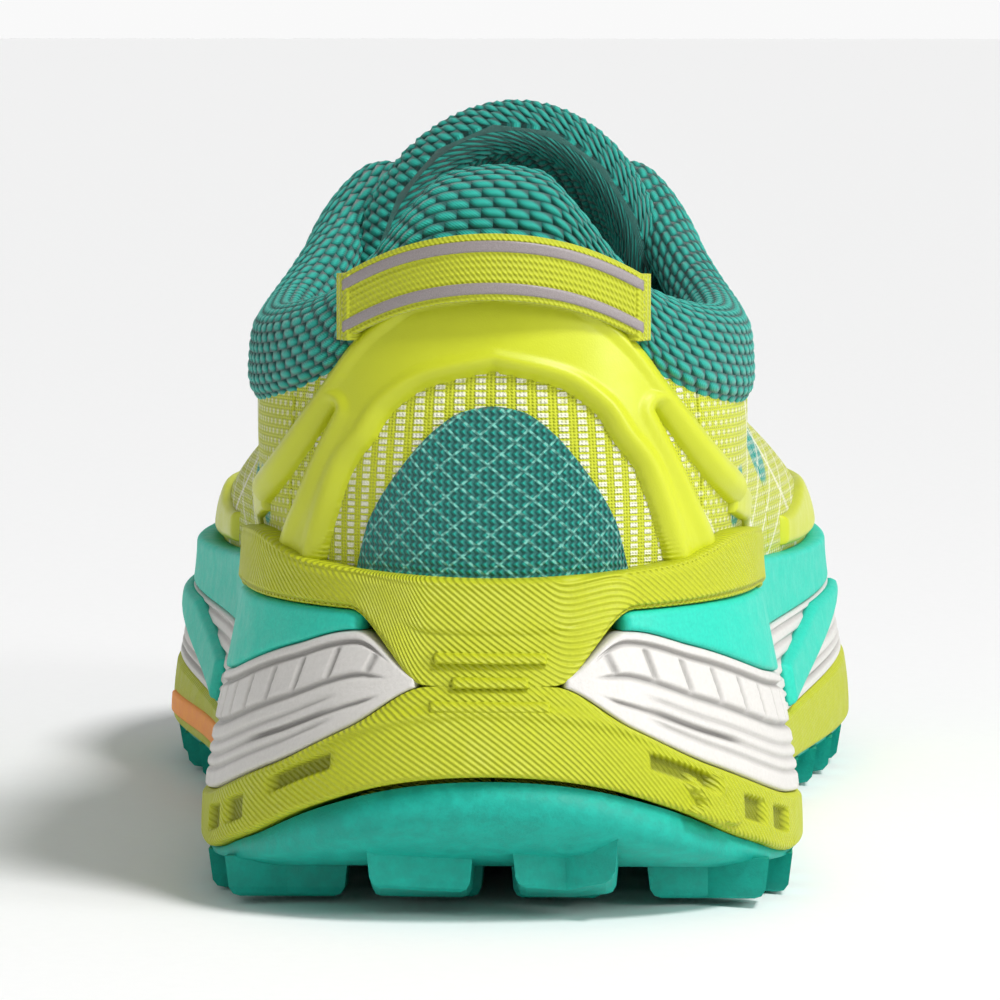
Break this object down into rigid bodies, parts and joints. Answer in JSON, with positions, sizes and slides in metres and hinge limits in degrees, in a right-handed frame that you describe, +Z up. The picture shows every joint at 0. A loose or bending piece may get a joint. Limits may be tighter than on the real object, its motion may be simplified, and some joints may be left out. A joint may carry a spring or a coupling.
{
  "type": "trail running shoe",
  "caption": "Left trail running shoe with a flared two-colour foam sole, lugged rubber, padded knit collar, moulded heel arch and heel pull tab.",
  "frame": {"origin": "middle of the shoe's bounding box on the ground", "axes": "+Y from heel to toe, +X to the medial side, +Z up"},
  "size_m": [0.1198, 0.298, 0.1155],
  "materials": {
    "rubber_teal": "matte moulded rubber",
    "foam_teal": "satin moulded foam",
    "foam_lime": "finely ribbed moulded foam",
    "foam_white": "satin moulded foam",
    "accent_orange": "matte rubber insert",
    "board": "stitched nonwoven board",
    "liner_knit": "brushed knit lining",
    "mesh_lime": "woven jacquard mesh",
    "woven_teal": "ribbed woven panel with fine light threads",
    "tpu_lime": "satin moulded overlay",
    "knit_teal": "chunky padded knit",
    "webbing_lime": "woven webbing",
    "reflective_grey": "reflective tape",
    "lace_cream": "braided flat lace",
    "stiffener": "thermoformed sheet"
  },
  "bodies": {
    "shoe": {"collar_pad": "knit_teal", "eyelet_loops_lateral": "webbing_lime", "eyelet_loops_medial": "webbing_lime", "eyestay_lateral": "tpu_lime", "eyestay_medial": "tpu_lime", "forefoot_wedge_lateral": "foam_white", "forefoot_wedge_medial": "foam_white", "heel_bars": "foam_lime", "heel_counter": "stiffener", "heel_dome": "woven_teal", "heel_lining": "liner_knit", "heel_overlay": "tpu_lime", "heel_panel": "mesh_lime", "heel_wedge_lateral": "foam_white", "heel_wedge_medial": "foam_white", "lace_knot": "lace_cream", "lace_row_1": "lace_cream", "lace_row_2": "lace_cream", "lace_row_3": "lace_cream", "lace_row_4": "lace_cream", "lace_row_5": "lace_cream", "lace_row_6": "lace_cream", "lining_lateral": "liner_knit", "lining_medial": "liner_knit", "lower_band": "foam_lime", "midfoot_wall_lateral": "foam_white", "midfoot_wall_medial": "foam_white", "midsole_core": "foam_teal", "midsole_cradle": "foam_lime", "outsole_forefoot": "rubber_teal", "outsole_heel": "rubber_teal", "quarter_lateral": "mesh_lime", "quarter_medial": "mesh_lime", "side_band_lateral": "foam_teal", "side_band_medial": "foam_teal", "sockliner": "liner_knit", "sole_accent_lateral": "accent_orange", "strobel_board": "board", "toe_puff": "stiffener", "toe_rand": "tpu_lime", "toe_wall_lateral": "foam_white", "toe_wall_medial": "foam_white", "tongue_base": "knit_teal", "vamp": "mesh_lime", "wedge_chevron_lateral": "foam_teal", "wedge_chevron_medial": "foam_teal", "wing_overlay_lateral": "tpu_lime", "wing_overlay_medial": "tpu_lime"},
    "pull_tab": {"pull_tab": "webbing_lime", "tab_stripe_lower": "reflective_grey", "tab_stripe_upper": "reflective_grey"},
    "tongue_tip": {"tongue_top": "knit_teal"}
  },
  "joints": [
    {"name": "pull_tab_swing", "type": "hinge", "parent": "shoe", "child": "pull_tab", "pos_m": [0.00452, -0.12993, 0.0865], "axis": [1, 0, 0], "range_deg": [0, 20], "stiffness_Nm_per_rad": 0.004},
    {"name": "tongue_tip_fold", "type": "hinge", "parent": "shoe", "child": "tongue_tip", "pos_m": [0.00452, -0.036, 0.10891], "axis": [1, 0, 0], "range_deg": [-22, 0], "stiffness_Nm_per_rad": 0.08}
  ]
}
